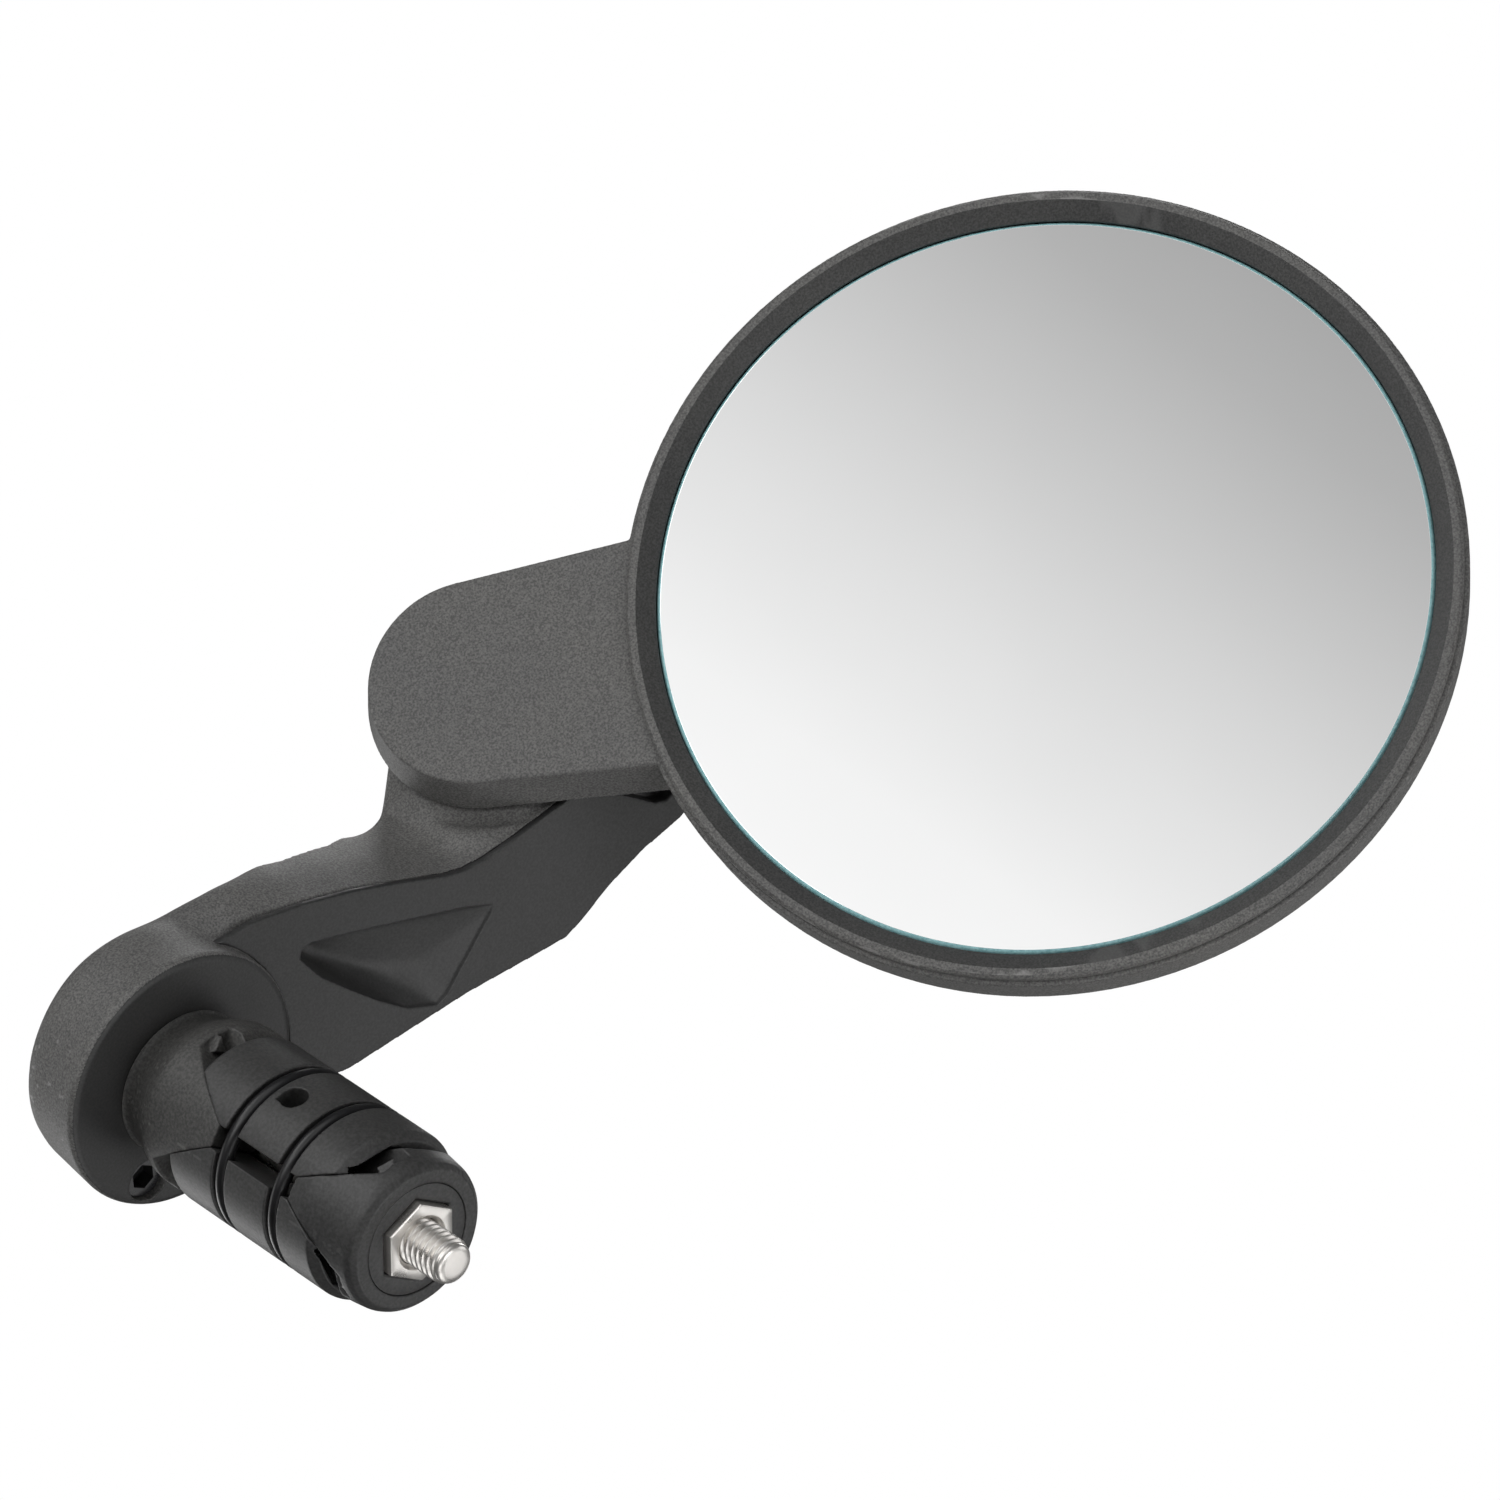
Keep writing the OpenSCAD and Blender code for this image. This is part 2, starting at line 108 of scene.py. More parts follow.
GLASS_R = 40.0
GLASS_T = 2.0
GLASS_EDGE = -0.2  # height of the front edge of the glass
GLASS_CURVE = 600.0  # radius of the convex face
BULGE = GLASS_CURVE - math.sqrt(GLASS_CURVE**2 - GLASS_R**2)
BEVEL_R = GLASS_R + 1.95
RIM_R = 43.5
THREAD_PITCH = 0.8  # M5
THREAD_R = 2.44
THREAD_ROOT_R = 1.97
THREAD_START = 22.0  # along the plug, from the hub's face
BOLT_TIP_R = 2.15
NUT_HALF = 3.9  # half its width across flats
NUT_STANDS_OUT = 0.75

AROUND = 96  # corners round the bolt and the nut


# ---- materials ----

BRIGHT_METAL = (0.92, 0.9, 0.86)


def new_material(name):
    """A material with its nodes, links, shader and object coordinates."""
    material = bpy.data.materials.new(name)
    material.use_nodes = True
    nodes = material.node_tree.nodes
    coords = nodes.new("ShaderNodeTexCoord").outputs["Object"]
    return material, nodes, material.node_tree.links, nodes["Principled BSDF"], coords


def noise(nodes, links, coords, scale, detail=3.0, rough=0.55):
    """Noise from 0 to 1, with scale in cells per metre."""
    node = nodes.new("ShaderNodeTexNoise")
    node.inputs["Scale"].default_value = scale
    node.inputs["Detail"].default_value = detail
    node.inputs["Roughness"].default_value = rough
    links.new(coords, node.inputs["Vector"])
    return node.outputs["Fac"]


def ramp(nodes, links, value, stops):
    """A colour ramp whose stops are (position, colour)."""
    node = nodes.new("ShaderNodeValToRGB")
    elements = node.color_ramp.elements
    while len(elements) < len(stops):
        elements.new(0.5)
    for element, (position, colour) in zip(elements, stops):
        element.position = position
        element.color = (*colour, 1)
    links.new(value, node.inputs["Fac"])
    return node.outputs["Color"]


def spread(nodes, links, value, low_to, high_to, low_from=0.3, high_from=0.7):
    """Maps a value between low_from and high_from to between low_to and high_to."""
    node = nodes.new("ShaderNodeMapRange")
    node.inputs["From Min"].default_value = low_from
    node.inputs["From Max"].default_value = high_from
    node.inputs["To Min"].default_value = low_to
    node.inputs["To Max"].default_value = high_to
    links.new(value, node.inputs["Value"])
    return node.outputs["Result"]


def mix_colour(nodes, links, kind, factor, a, b):
    """Mixes two colours. Each input is a number, a colour or a socket."""
    node = nodes.new("ShaderNodeMix")
    node.data_type = "RGBA"
    node.blend_type = kind
    for socket, value in ((node.inputs["Factor"], factor), (node.inputs["A"], a), (node.inputs["B"], b)):
        if isinstance(value, (int, float)):
            socket.default_value = value
        elif isinstance(value, tuple):
            socket.default_value = (*value, 1)
        else:
            links.new(value, socket)
    return node.outputs["Result"]


def add(nodes, links, a, b):
    """The sum of two sockets."""
    node = nodes.new("ShaderNodeMath")
    node.operation = "ADD"
    links.new(a, node.inputs[0])
    links.new(b, node.inputs[1])
    return node.outputs["Value"]


def bump(nodes, links, shader, height, distance, strength=1.0):
    """Relief on a shader, with distance in metres."""
    node = nodes.new("ShaderNodeBump")
    node.inputs["Strength"].default_value = strength
    node.inputs["Distance"].default_value = distance
    links.new(height, node.inputs["Height"])
    links.new(node.outputs["Normal"], shader.inputs["Normal"])


def at_edges(nodes, links, most, low_from, high_from):
    """Grows from 0 to most on edges that stand out."""
    pointiness = nodes.new("ShaderNodeNewGeometry").outputs["Pointiness"]
    return spread(nodes, links, pointiness, 0.0, most, low_from, high_from)


def moulded_plastic(name, dark, light, grain_mm, grain_depth_mm, roughness):
    """Moulded plastic: eroded grain, faint flow marks, smoother where edges are handled, and paler on edges
    as handling wear and as a painted highlight.
    """
    material, nodes, links, shader, coords = new_material(name)
    grain = noise(nodes, links, coords, 1 / (grain_mm * MM), 4.0, 0.65)
    flecks = noise(nodes, links, coords, 0.6 / (grain_mm * MM), 2.0, 0.5)
    flow = noise(nodes, links, coords, 55.0, 5.0, 0.6)
    colour = ramp(nodes, links, flecks, [(0.36, dark), (0.66, light)])
    tint = ramp(nodes, links, flow, [(0.3, (0.86, 0.86, 0.87)), (0.7, (1.08, 1.07, 1.05))])
    colour = mix_colour(nodes, links, "MULTIPLY", 1.0, colour, tint)
    # Paler edges: partly handling wear, partly a painted highlight on their rounding.
    worn_and_highlit = tuple(min(1.0, 2.2 * c) for c in light)
    edge_brightening = at_edges(nodes, links, 0.35, 0.53, 0.62)
    colour = mix_colour(nodes, links, "MIX", edge_brightening, colour, worn_and_highlit)
    links.new(colour, shader.inputs["Base Color"])
    rough = spread(nodes, links, flow, roughness - 0.05, roughness + 0.06)
    rough = add(nodes, links, rough, spread(nodes, links, grain, -0.06, 0.06))
    rough = add(nodes, links, rough, at_edges(nodes, links, -0.12, 0.53, 0.62))
    links.new(rough, shader.inputs["Roughness"])
    bump(nodes, links, shader, grain, grain_depth_mm * MM)
    return material


def rubber(name):
    """Black rubber with a faint grey bloom."""
    material, nodes, links, shader, coords = new_material(name)
    bloom = noise(nodes, links, coords, 320.0, 4.0)
    fine = noise(nodes, links, coords, 5200.0, 2.0)
    colour = ramp(nodes, links, bloom, [(0.3, (0.010, 0.010, 0.011)), (0.75, (0.022, 0.022, 0.024))])
    links.new(colour, shader.inputs["Base Color"])
    links.new(spread(nodes, links, bloom, 0.28, 0.42), shader.inputs["Roughness"])
    bump(nodes, links, shader, fine, 0.006 * MM)
    return material


def turned_metal(name, colour):
    """Metal with fine turning marks round the plug's axis, a little tarnish and brighter edges."""
    material, nodes, links, shader, coords = new_material(name)
    tarnish = noise(nodes, links, coords, 420.0, 5.0)
    stretch = nodes.new("ShaderNodeMapping")
    stretch.inputs["Scale"].default_value = (1.0, 0.06, 0.06)
    links.new(coords, stretch.inputs["Vector"])
    marks = noise(nodes, links, stretch.outputs["Vector"], 10400.0, 2.0)
    darker = tuple(0.84 * c for c in colour)
    base = ramp(nodes, links, tarnish, [(0.3, darker), (0.62, colour)])
    edge_brightening = at_edges(nodes, links, 0.5, 0.52, 0.6)
    colour = mix_colour(nodes, links, "MIX", edge_brightening, base, BRIGHT_METAL)
    links.new(colour, shader.inputs["Base Color"])
    shader.inputs["Metallic"].default_value = 0.8
    links.new(spread(nodes, links, tarnish, 0.24, 0.42), shader.inputs["Roughness"])
    bump(nodes, links, shader, marks, 0.004 * MM, 0.6)
    return material


def silvered_glass(name):
    """Polished glass over its silver: a mirror with faint wipe marks."""
    material, nodes, links, shader, coords = new_material(name)
    wipe = noise(nodes, links, coords, 38.0, 4.0)
    tone = ramp(nodes, links, wipe, [(0.3, (0.955, 0.957, 0.957)), (0.7, (0.972, 0.974, 0.974))])
    links.new(tone, shader.inputs["Base Color"])
    links.new(spread(nodes, links, wipe, 0.0, 0.012), shader.inputs["Roughness"])
    shader.inputs["Metallic"].default_value = 1.0
    shader.inputs["Coat Weight"].default_value = 0.3
    shader.inputs["Coat Roughness"].default_value = 0.0
    bump(nodes, links, shader, wipe, 0.0001 * MM, 0.2)
    return material


def glinting_ground_edge(name):
    """The ground edge of the glass, frosted, in a bright green-blue: the glass's own tint, lit up as a
    painted glint of light through the edge.
    """
    material, nodes, links, shader, coords = new_material(name)
    chips = noise(nodes, links, coords, 2400.0)
    # Bright green-blue colour: a painted glint of light through the glass edge, over the glass's own tint.
    colour = ramp(nodes, links, chips, [(0.3, (0.30, 0.62, 0.66)), (0.7, (0.52, 0.88, 0.90))])
    links.new(colour, shader.inputs["Base Color"])
    links.new(spread(nodes, links, chips, 0.25, 0.5), shader.inputs["Roughness"])
    bump(nodes, links, shader, chips, 0.01 * MM)
    return material


def silver(name):
    """The coat on the back of the glass."""
    material, nodes, links, shader, coords = new_material(name)
    cloud = noise(nodes, links, coords, 30.0)
    tone = ramp(nodes, links, cloud, [(0.3, (0.955, 0.955, 0.955)), (0.7, (0.975, 0.975, 0.972))])
    links.new(tone, shader.inputs["Base Color"])
    shader.inputs["Metallic"].default_value = 1.0
    links.new(spread(nodes, links, cloud, 0.0, 0.015), shader.inputs["Roughness"])
    return material


# Each plastic: darker and lighter colour, grain and its depth in mm, roughness.
GRAINED = moulded_plastic(
    "grained_plastic", (0.092, 0.092, 0.090), (0.200, 0.198, 0.193), 0.13, 0.03, 0.58)
SMOOTH = moulded_plastic(
    "smooth_plastic", (0.030, 0.030, 0.030), (0.044, 0.044, 0.044), 0.16, 0.008, 0.46)
PLUG_BLACK = moulded_plastic(
    "plug_plastic", (0.040, 0.040, 0.040), (0.064, 0.064, 0.064), 0.2, 0.012, 0.48)
POST_BLACK = moulded_plastic(
    "post_plastic", (0.050, 0.050, 0.049), (0.096, 0.095, 0.092), 0.18, 0.028, 0.52)
# A darker copy of the grained plastic for the bevel down to the glass: painted shade on the bevel.
SHADED_BEVEL = moulded_plastic(
    "shaded_bevel_plastic", (0.046, 0.046, 0.046), (0.086, 0.086, 0.085), 0.13, 0.02, 0.5)
OXIDE = moulded_plastic(
    "black_oxide", (0.016, 0.016, 0.017), (0.028, 0.028, 0.030), 0.12, 0.004, 0.36)
ACETAL = moulded_plastic(
    "acetal", (0.5, 0.48, 0.42), (0.62, 0.6, 0.54), 0.3, 0.01, 0.4)
FOAM = moulded_plastic(
    "foam_tape", (0.05, 0.05, 0.055), (0.09, 0.09, 0.095), 0.5, 0.1, 0.8)
RUBBER = rubber("rubber_black")
NICKEL = turned_metal("nickel_plate", (0.93, 0.90, 0.86))
BRASS = turned_metal("turned_brass", (0.72, 0.55, 0.26))
GLASS = silvered_glass("silvered_glass")
GLASS_RIM_GLINT = glinting_ground_edge("ground_glass_glint")
SILVER = silver("silver_coat")


# ---- mesh helpers ----


def finish_piece(obj, node, material, slot_name, *more):
    """Gives a new piece its materials and lets it stand for its CAD node."""
    for each in (material, *more):
        obj.data.materials.append(each)
    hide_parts(node)
    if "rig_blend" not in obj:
        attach(obj, NODES[node]["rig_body"])


def mesh_object(name, mesh):
    """An object in the scene that shows a mesh."""
    obj = bpy.data.objects.new(name, mesh)
    bpy.context.scene.collection.objects.link(obj)
    return obj


def apply_modifiers(obj):
    """Makes an object's modified shape its own mesh."""
    evaluated = obj.evaluated_get(bpy.context.evaluated_depsgraph_get())
    mesh = bpy.data.meshes.new_from_object(evaluated)
    obj.modifiers.clear()
    obj.data = mesh


def welded_copy(node, name):
    """A copy of a CAD node's mesh with its loose faces joined."""
    mesh = NODES[node].data.copy()
    mesh.name = name
    mesh.materials.clear()
    bm = bmesh.new()
    bm.from_mesh(mesh)
    bmesh.ops.remove_doubles(bm, verts=bm.verts, dist=1e-6)
    bm.to_mesh(mesh)
    bm.free()
    if "custom_normal" in mesh.attributes:
        mesh.attributes.remove(mesh.attributes["custom_normal"])
    return mesh_object(name, mesh)


def soften(obj, voxel_mm, passes):
    """Remeshes an object evenly and rounds its edges a little, as a mould does."""
    remesh = obj.modifiers.new("remesh", "REMESH")
    remesh.mode = "VOXEL"
    remesh.voxel_size = voxel_mm * MM
    smooth = obj.modifiers.new("smooth", "SMOOTH")
    smooth.factor = 0.5
    smooth.iterations = passes
    apply_modifiers(obj)
    obj.data.shade_smooth()
    return obj


def smooth_step(value, low_at, high_at):
    """0 at and below low_at, 1 at and above high_at, eased between."""
    t = np.clip((value - low_at) / (high_at - low_at), 0.0, 1.0)
    return t * t * (3 - 2 * t)


def points_mm(mesh):
    """The mesh's corners as rows of x, y and z in mm."""
    flat = np.empty(len(mesh.vertices) * 3)
    mesh.vertices.foreach_get("co", flat)
    return flat.reshape(-1, 3) / MM


def normals_of(mesh):
    """The unit normals at the mesh's corners, as rows of x, y and z."""
    flat = np.empty(len(mesh.vertices) * 3, dtype=np.float32)
    mesh.vertices.foreach_get("normal", flat)
    return flat.reshape(-1, 3)


def relax(obj, weights, passes):
    """Smooths an object further where the weights are above zero, least where they are low."""
    group = obj.vertex_groups.new(name="relax")
    levels = 64
    steps = np.round(levels * weights**3)
    for step in range(1, levels + 1):
        group.add(np.flatnonzero(steps == step).tolist(), step / levels, "REPLACE")
    smooth = obj.modifiers.new("relax", "SMOOTH")
    smooth.factor = 0.5
    smooth.iterations = passes
    smooth.vertex_group = "relax"
    apply_modifiers(obj)
    obj.vertex_groups.clear()
    obj.data.shade_smooth()


def moulded(node, name, material, slot_name, voxel_mm, passes):
    """A softened copy of a CAD node that stands for it."""
    finish_piece(soften(welded_copy(node, name), voxel_mm, passes), node, material, slot_name)


def rounded(points, radius):
    """A closed outline with its corners filleted, but for those that are nearly straight."""
    made = []
    count = len(points)
    steps = 5
    for i, corner in enumerate(points):
        here = Vector(corner)
        before = Vector(points[i - 1]) - here
        after = Vector(points[(i + 1) % count]) - here
        turn = before.angle(after)
        if turn > math.radians(172):
            made.append(tuple(here))
            continue
        reach = min(radius / math.tan(turn / 2), 0.45 * before.length, 0.45 * after.length)
        start = here + before.normalized() * reach
        end = here + after.normalized() * reach
        for k in range(steps + 1):
            t = k / steps
            made.append(tuple(start * (1 - t) ** 2 + here * 2 * t * (1 - t) + end * t**2))
    return made


def ring_of(bm, reaches, height):
    """Vertices round local z, one for each distance from the axis."""
    made = []
    for i, reach in enumerate(reaches):
        angle = 2 * math.pi * i / len(reaches)
        made.append(bm.verts.new((reach * math.cos(angle), reach * math.sin(angle), height)))
    return made


def join_rings(bm, rings):
    """Faces between each ring and the next. A ring of one vertex is a point on the axis."""
    for a, b in zip(rings, rings[1:]):
        count = max(len(a), len(b))
        if count == 1:
            continue
        for i in range(count):
            j = (i + 1) % count
            if len(a) == 1:
                bm.faces.new((a[0], b[j], b[i]))
            elif len(b) == 1:
                bm.faces.new((a[i], a[j], b[0]))
            else:
                bm.faces.new((a[i], a[j], b[j], b[i]))


def smooth_object(name, bm, matrix):
    """An object from a closed mesh in the making, moved to its place."""
    bmesh.ops.recalc_face_normals(bm, faces=bm.faces)
    mesh = bpy.data.meshes.new(name)
    bm.to_mesh(mesh)
    bm.free()
    mesh.transform(matrix)
    mesh.shade_smooth()
    return mesh_object(name, mesh)


def lathe(name, outline, matrix, turns):
    """Revolves a closed outline of (radius, height) about local z."""
    bm = bmesh.new()
    rings = [ring_of(bm, [radius] * (turns if radius > 0 else 1), height) for radius, height in outline]
    join_rings(bm, rings + rings[:1])
    return smooth_object(name, bm, matrix)


def paint_faces(obj, matrix, chosen):
    """Gives the second material to the faces whose distance from local z, in mm, is chosen."""
    inverse = matrix.inverted()
    for face in obj.data.polygons:
        middle = inverse @ face.center
        if chosen(math.hypot(middle.x, middle.y)):
            face.material_index = 1


# ---- head ----


def ball_height(radius, edge_height):
    """Height of the glass's curve, whose edge is at edge_height."""
    return edge_height + BULGE - GLASS_CURVE + math.sqrt(GLASS_CURVE**2 - radius**2)


def make_glass():
    """Convex lens with a ground edge, and the silver behind it."""
    radii = [GLASS_R * i / 40 for i in range(40)]
    back_edge = GLASS_EDGE - GLASS_T
    chamfer = 0.42
    flat_end = GLASS_R - chamfer
    front = [(r, ball_height(r, GLASS_EDGE)) for r in radii + [flat_end - 0.04, flat_end]]
    side = [(GLASS_R, GLASS_EDGE - chamfer), (GLASS_R, back_edge + 0.2)]
    back = [(r, ball_height(r, back_edge)) for r in reversed(radii + [GLASS_R - 0.2])]
    glass = lathe("mirror_lens", front + side + back, AT_GLASS, 320)
    finish_piece(glass, "mirror_glass", GLASS, "glass", GLASS_RIM_GLINT)
    paint_faces(glass, AT_GLASS, lambda reach: reach > flat_end)
    gap, coat_t = 0.01, 0.1
    radii = [(GLASS_R - 0.3) * i / 40 for i in range(41)]
    coat = [(r, ball_height(r, back_edge - gap)) for r in radii]
    coat += [(r, ball_height(r, back_edge - gap - coat_t)) for r in reversed(radii)]
    finish_piece(lathe("mirror_silver", coat, AT_GLASS, 256), "silver_coat", SILVER, "silver")


def make_bezel():
    """Narrow textured ring with a bevel down to the glass and a fine step outside it."""
    outline = [
        (GLASS_R + 0.05, -0.6), (GLASS_R + 0.05, -0.16), (BEVEL_R, 0.98), (BEVEL_R + 0.2, 1.0),
        (RIM_R - 0.8, 1.0), (RIM_R - 0.5, 0.72), (RIM_R - 0.5, 0.03), (RIM_R - 1.3, 0.03),
        (RIM_R - 1.3, -2.0), (RIM_R - 2.2, -2.0), (RIM_R - 2.2, -0.6),
    ]
    bezel = lathe("bezel", rounded(outline, 0.14), AT_GLASS, 360)
    finish_piece(bezel, "bezel_ring", GRAINED, "grained_plastic", SHADED_BEVEL)
    # The bevel faces take the darker copy of the grained plastic, a painted shade.
    paint_faces(bezel, AT_GLASS, lambda reach: reach < BEVEL_R)


# ---- plug ----


def make_bolt():
    """M5 bolt: low round head, plain shank, rolled thread and a rounded tip."""
    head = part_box("expander_bolt")[0].x / MM
    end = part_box("expander_bolt")[1].x / MM
    thread_end = end - 0.55

    def thread_r(x, angle):
        """Radius of the thread, which fades in at its start and down to the tip at its end."""
        phase = (x / THREAD_PITCH - angle / (2 * math.pi)) % 1.0
        ridge = 1 - abs(2 * phase - 1)
        depth = min(1.0, max(0.0, (ridge - 0.12) / 0.72))
        run_in = min(1.0, (x - THREAD_START) / 1.5)
        run_out = min(1.0, max(0.0, (thread_end - x) / 0.5))
        radius = THREAD_R + (THREAD_ROOT_R - THREAD_R) * (1 - depth) * run_in
        return BOLT_TIP_R + (radius - BOLT_TIP_R) * run_out

    plain = [
        (head, 3.7), (head + 0.12, 4.05), (head + 0.35, 4.22), (-5.35, 4.25), (-5.25, 4.15),
        (-5.25, 2.6), (-5.1, THREAD_R), (THREAD_START, THREAD_R),
    ]
    tip = [(0.42, 0.02), (0.3, 0.1), (0.18, 0.24), (0.08, 0.46), (0.02, 0.8), (0.0, 1.2)]
    bm = bmesh.new()
    rings = [ring_of(bm, [0.0], head)]
    for x, radius in plain:
        rings.append(ring_of(bm, [radius] * AROUND, x))
    for x in np.arange(THREAD_START + 0.05, end - 0.5, THREAD_PITCH / 12):
        radii = [thread_r(float(x), 2 * math.pi * i / AROUND) for i in range(AROUND)]
        rings.append(ring_of(bm, radii, float(x)))
    for before_end, inward in tip:
        rings.append(ring_of(bm, [BOLT_TIP_R - inward] * AROUND, end - before_end))
    rings.append(ring_of(bm, [0.0], end))
    join_rings(bm, rings)
    finish_piece(smooth_object("bolt_m5", bm, ON_PLUG), "expander_bolt", NICKEL, "nickel_steel")


def hex_reach(angle, half):
    """Distance from the middle of a hexagon to its side, where half is that of its flats."""
    off_flat = (angle + math.pi / 6) % (math.pi / 3) - math.pi / 6
    return half / math.cos(off_flat)


def hexed(name, rings):
    """A closed shape through rings of (is hexagon, radius or half width across flats, height)."""
    bm = bmesh.new()
    made = []
    for is_hex, half, height in rings:
        angles = [2 * math.pi * i / AROUND for i in range(AROUND)]
        reaches = [hex_reach(a, half) for a in angles] if is_hex else [half] * AROUND
        made.append(ring_of(bm, reaches, height))
    join_rings(bm, made + made[:1])
    obj = smooth_object(name, bm, ON_PLUG)
    edge = obj.modifiers.new("edge", "EDGE_SPLIT")
    edge.split_angle = math.radians(25)
    apply_modifiers(obj)
    return obj


def make_nut():
    """Hexagon nut, nearly flush in the hexagon pocket of its insert."""
    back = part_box("hex_nut")[0].x / MM
    pocket_back = back - 0.05
    low_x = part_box("end_insert")[0].x / MM
    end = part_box("end_insert")[1].x / MM
    front = end + NUT_STANDS_OUT
    nut = [
        (False, 2.56, back), (True, NUT_HALF, back), (True, NUT_HALF, front - 0.14),
        (True, NUT_HALF - 0.05, front - 0.05), (True, NUT_HALF - 0.16, front),
        (False, 3.0, front), (False, 2.56, front - 0.4),
    ]
    finish_piece(hexed("nut", nut), "hex_nut", NICKEL, "nickel_steel")
    pocket = [
        (False, 6.1, low_x), (False, 6.1, end - 0.18), (False, 6.05, end - 0.05), (False, 5.92, end),
        (True, NUT_HALF + 0.42, end), (True, NUT_HALF + 0.24, end - 0.12),
        (True, NUT_HALF + 0.2, end - 0.4), (True, NUT_HALF + 0.2, pocket_back),
        (False, 2.9, pocket_back), (False, 2.9, low_x),
    ]
    finish_piece(hexed("nut_pocket", pocket), "end_insert", PLUG_BLACK, "smooth_plastic")


def make_ring(node, name):
    """Rubber ring round both segments. It stretches as they spread."""
    lower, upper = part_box(node)
    centre = Vector(((lower.x + upper.x) / 2, 0, 0))
    wire = (upper.x - lower.x) / 2 / MM
    mean = (upper.z - lower.z) / 2 / MM - wire
    angles = np.linspace(0, 2 * math.pi, 24, endpoint=False)
    outline = [(mean + wire * math.cos(a), wire * math.sin(a)) for a in angles]
    ring = lathe(name, outline, Matrix.Translation(centre) @ ON_PLUG, 128)
    reach = SPLIT_UP * 0.6 * mean * MM
    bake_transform(ring, "segment_upper", "segment_lower", centre + reach, centre - reach)
    finish_piece(ring, node, RUBBER, "rubber")


# ---- arm, in mm ----

FACE_TURN = math.radians(7.1)  # of the front face, about Z
FACE_EDGE_Y = 12.0  # where that face meets X = 0
NECK_Y = 14.0  # the valley of the neck at its lower end
NECK_LOW, NECK_HIGH = 37.0, 46.0  # its ends in Z
NECK_LEAN = 1.5  # how far it leans to +Y on the way up
NECK_SIDE_Y = 19.0  # the arm's far side, beyond this, keeps its shape
HUB_INSIDE_R = 11.5  # the hub's inside, nearer its axis than this, keeps its shape
JUNCTION = (-6.3, 13.8)  # Y and Z of the corner between hub and arm
SHOULDER = (-5.0, 15.5)  # Y and Z of the arm's shoulder above that corner
SHIFT = 0.38


def face_depth(points):
    """How far points lie behind the arm's turned front face, in mm."""
    return -(points[:, 0] * math.cos(FACE_TURN) - (points[:, 1] - FACE_EDGE_Y) * math.sin(FACE_TURN))


def near_neck(points):
    """1 in the valley between the arm and the pad of the tongue, 0 away from it and on flat faces."""
    along = np.clip((points[:, 2] - NECK_LOW) / (NECK_HIGH - NECK_LOW), 0.0, 1.0)
    valley_y = NECK_Y + NECK_LEAN * along
    valley_z = NECK_LOW + (NECK_HIGH - NECK_LOW) * along
    pad_height = (points - np.array(PIVOT) / MM) @ np.array(HEAD_AXIS)
    weights = 1 - smooth_step(np.hypot(points[:, 1] - valley_y, points[:, 2] - valley_z), 5.0, 12.0)
    weights *= smooth_step(face_depth(points), 0.9, 2.6)
    weights *= 1 - smooth_step(pad_height, -2.2, -1.2)
    return weights * (points[:, 1] < NECK_SIDE_Y)


def near_junction(points):
    """1 in the corner between the hub and the arm, 0 away from it, on the front and inside the hub."""
    from_corner = np.hypot(points[:, 1] - JUNCTION[0], points[:, 2] - JUNCTION[1])
    weights = (1 - smooth_step(from_corner, 4.0, 12.0)) * smooth_step(-points[:, 0], 0.6, 2.2)
    return weights * (np.hypot(points[:, 1], points[:, 2]) > HUB_INSIDE_R)


def hub_shift(points):
    """How much of the shift up and back the points round the rear of the hub take."""
    radial = np.hypot(points[:, 1], points[:, 2])
    shift = smooth_step(-points[:, 0], 1.5, 8.5) * smooth_step(radial, 10.0, 12.0)
    shift *= smooth_step(points[:, 2] - points[:, 1], 2.0, 14.0)
    shift *= 1 - smooth_step(points[:, 2], 24.0, 34.0)
    from_shoulder = np.hypot(points[:, 1] - SHOULDER[0], points[:, 2] - SHOULDER[1])
    more = 1.3 * (1 - smooth_step(from_shoulder, 2.0, 13.0)) * smooth_step(-points[:, 0], 1.5, 8.0)
    return shift + more * (radial > HUB_INSIDE_R)


def make_arm():
    """The arm's shell, grained but for the polished face of the hub. Its neck blends into the pad."""
    shell = soften(welded_copy("arm", "arm_shell"), 0.16, 7)
    points = points_mm(shell.data)
    relax(shell, np.maximum(near_neck(points), near_junction(points)), 480)
    points = points_mm(shell.data)
    shift = SHIFT * hub_shift(points)
    points[:, 1] -= shift
    points[:, 2] += shift
    shell.data.vertices.foreach_set("co", (points * MM).ravel())
    finish_piece(shell, "arm", GRAINED, "grained_plastic", SMOOTH)
    for face in shell.data.polygons:
        if face.normal.x > 0.7 and abs(face.center.x) < 1.2 * MM:
            face.material_index = 1


def make_arm_front():
    """The arm's polished front, whose hollow has soft creases between its slopes."""
    front = soften(welded_copy("arm_cover", "arm_front"), 0.12, 8)
    points = points_mm(front.data)
    facing = normals_of(front.data) @ np.array((math.cos(FACE_TURN), -math.sin(FACE_TURN), 0.0))
    weights = smooth_step(face_depth(points), 0.05, 0.9) * smooth_step(facing, 0.1, 0.4)
    weights *= (points[:, 1] > 1.5) & (points[:, 1] < 22.5) & (points[:, 2] > 16) & (points[:, 2] < 37.5)
    relax(front, weights, 220)
    finish_piece(front, "arm_cover", SMOOTH, "smooth_plastic")


# ---- build ----

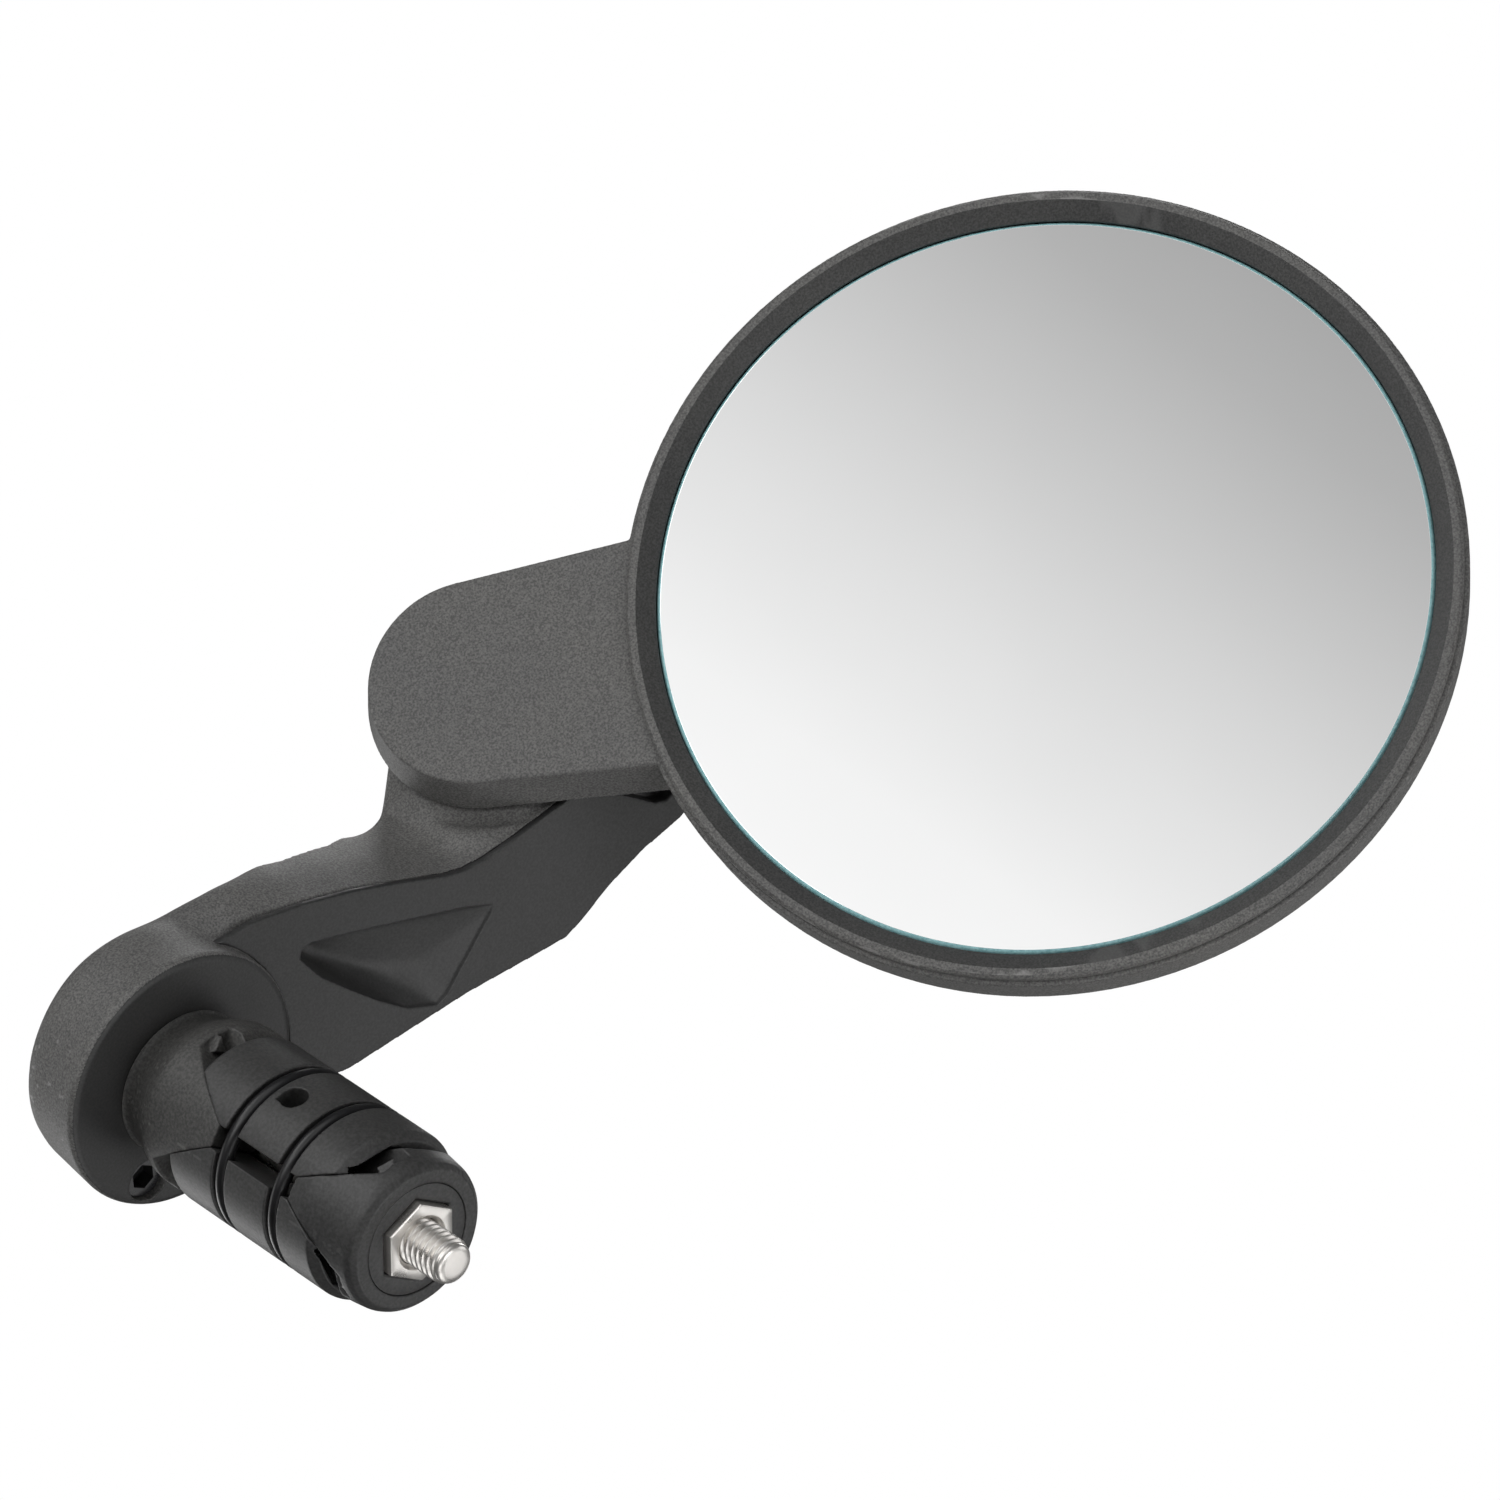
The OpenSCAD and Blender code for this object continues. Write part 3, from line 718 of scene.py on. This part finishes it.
make_glass()
make_bezel()
moulded("mirror_housing", "housing", GRAINED, "grained_plastic", 0.18, 4)
make_arm()
make_arm_front()
moulded("post", "plug_post", POST_BLACK, "grained_plastic", 0.13, 4)
moulded("segment_upper", "shell_upper", PLUG_BLACK, "smooth_plastic", 0.12, 3)
moulded("segment_lower", "shell_lower", PLUG_BLACK, "smooth_plastic", 0.12, 3)
moulded("end_wedge", "wedge_cone", PLUG_BLACK, "smooth_plastic", 0.12, 3)
make_bolt()
make_nut()
make_ring("oring_inner", "ring_inner")
make_ring("oring_outer", "ring_outer")

# CAD nodes whose own shape is shown
CAD_LOOKS = {
    "bolt_washer": NICKEL,
    "friction_ring": ACETAL,
    "hub_cap": SMOOTH,
    "cover_pins": NICKEL,
    "lock_screw": OXIDE,
    "lock_insert": BRASS,
    "pivot_screw": NICKEL,
    "pivot_washer": NICKEL,
    "wave_washer": NICKEL,
    "pivot_cap": SMOOTH,
    "pivot_nut": NICKEL,
    "swivel_disc": ACETAL,
    "foam_pad": FOAM,
    "backing_plate": SMOOTH,
}
for node_name, look in CAD_LOOKS.items():
    NODES[node_name].data.materials.clear()
    NODES[node_name].data.materials.append(look)


# ---- studio ----

CAMERA_AT = Vector((0.6520, -0.7189, -0.1078))
CAMERA_BACK = Vector((0.6445, -0.7447, -0.1732))
CAMERA_UP = Vector((-0.3961, -0.5190, 0.7575))
CAMERA_LENS = 233.03
ARM_MIDDLE = sum(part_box("arm"), Vector()) / 2
WHITE = (1.0, 1.0, 1.0)
FLOOR_Z = -0.9
FLOOR_HALF = 60.0

# Azimuth and elevation of the panel, in degrees
PANEL_AT = (1, 12)

# Grey of the panel at each height, from level (0) to straight up (1)
PANEL_GREYS = [
    (0.0, 1.0), (0.09, 0.925), (0.13, 0.84), (0.165, 0.78), (0.203, 0.705),
    (0.243, 0.62), (0.283, 0.54), (0.32, 0.465), (0.4, 0.36), (1.0, 0.3),
]

# Soft boxes: azimuth and elevation in degrees, radiance
SOFT_BOXES = {
    "rear_left_high": (-125, 45, 6.2),
    "rear_left_low": (-125, -32, 2.6),
    "left_low": (-85, -32, 1.2),
    "rear": (-160, 8, 1.0),
    "front_left": (-36, 4, 2.4),
    "front_low": (-8, -21, 2.0),
    "right": (85, 8, 3.2),
    "right_low": (85, -32, 1.8),
    "rear_right_low": (130, -32, 1.8),
    "rear_right": (128, 8, 1.3),
    "rear_right_high": (130, 45, 1.3),
}


def make_camera():
    """The camera, at a distance that shows the whole mirror in a square picture."""
    camera = bpy.data.objects.new("camera", bpy.data.cameras.new("camera"))
    bpy.context.scene.collection.objects.link(camera)
    back = CAMERA_BACK.normalized()
    right = CAMERA_UP.cross(back).normalized()
    turn = Matrix((right, back.cross(right), back)).transposed().to_4x4()
    camera.matrix_world = Matrix.Translation(CAMERA_AT) @ turn
    camera.data.sensor_width = 36.0
    camera.data.lens = CAMERA_LENS
    camera.data.clip_start = 0.01
    camera.data.clip_end = 300.0
    bpy.context.scene.camera = camera


def toward(azimuth, elevation):
    """Unit vector: azimuth in degrees from -Y toward +X, elevation in degrees above level."""
    azimuth, elevation = math.radians(azimuth), math.radians(elevation)
    level = math.cos(elevation)
    return Vector((math.sin(azimuth) * level, -math.cos(azimuth) * level, math.sin(elevation)))


def soft_box(name, azimuth, elevation, radiance):
    """A round soft box one metre from the arm, facing it."""
    light = bpy.data.lights.new(name, "AREA")
    light.shape = "DISK"
    light.size = 0.55
    light.energy = radiance * math.pi * math.pi * (light.size / 2) ** 2
    obj = bpy.data.objects.new(name, light)
    bpy.context.scene.collection.objects.link(obj)
    out = toward(azimuth, elevation)
    facing = out.to_track_quat("Z", "Y").to_matrix().to_4x4()
    obj.matrix_world = Matrix.Translation(ARM_MIDDLE + out) @ facing
    obj.visible_camera = False


def make_world():
    """A graded panel before the glass in a bright glow, dim surroundings and a white backdrop."""
    world = bpy.data.worlds.new("studio")
    bpy.context.scene.world = world
    world.use_nodes = True
    nodes, links = world.node_tree.nodes, world.node_tree.links
    ray = nodes.new("ShaderNodeTexCoord").outputs["Generated"]
    parts = nodes.new("ShaderNodeSeparateXYZ")
    links.new(ray, parts.inputs["Vector"])
    panel = ramp(nodes, links, parts.outputs["Z"], [(p, (g, g, g)) for p, g in PANEL_GREYS])
    nearness = nodes.new("ShaderNodeVectorMath")
    nearness.operation = "DOT_PRODUCT"
    links.new(ray, nearness.inputs[0])
    nearness.inputs[1].default_value = toward(*PANEL_AT)
    # The limits below are cosines of the angle from the middle of the panel.
    in_panel = spread(nodes, links, nearness.outputs["Value"], 0.0, 1.0, 0.927, 0.966)
    room = spread(nodes, links, nearness.outputs["Value"], 0.04, 1.4, 0.74, 0.9)
    around = mix_colour(nodes, links, "MIX", in_panel, room, panel)
    seen = nodes.new("ShaderNodeLightPath").outputs["Is Camera Ray"]
    shown = mix_colour(nodes, links, "MIX", seen, around, WHITE)
    links.new(shown, nodes["Background"].inputs["Color"])
    nodes["Background"].inputs["Strength"].default_value = 1.0


def make_floor():
    """A wide pale floor below the mirror, which adds no light or reflection to it."""
    bm = bmesh.new()
    bmesh.ops.create_grid(bm, x_segments=2, y_segments=2, size=FLOOR_HALF)
    mesh = bpy.data.meshes.new("floor")
    bm.to_mesh(mesh)
    bm.free()
    floor = mesh_object("floor", mesh)
    floor.location.z = FLOOR_Z
    material, nodes, links, shader, coords = new_material("pale_floor")
    cloud = noise(nodes, links, coords, 1.5, 2.0)
    pale = ramp(nodes, links, cloud, [(0.3, (0.86, 0.86, 0.86)), (0.7, (0.9, 0.9, 0.9))])
    links.new(pale, shader.inputs["Base Color"])
    links.new(pale, shader.inputs["Emission Color"])
    shader.inputs["Emission Strength"].default_value = 0.95
    shader.inputs["Roughness"].default_value = 0.7
    floor.data.materials.append(material)
    floor.visible_diffuse = False
    floor.visible_glossy = False


make_camera()
make_world()
make_floor()
for box_name, placing in SOFT_BOXES.items():
    soft_box(box_name, *placing)
bpy.context.scene.view_settings.view_transform = "Standard"
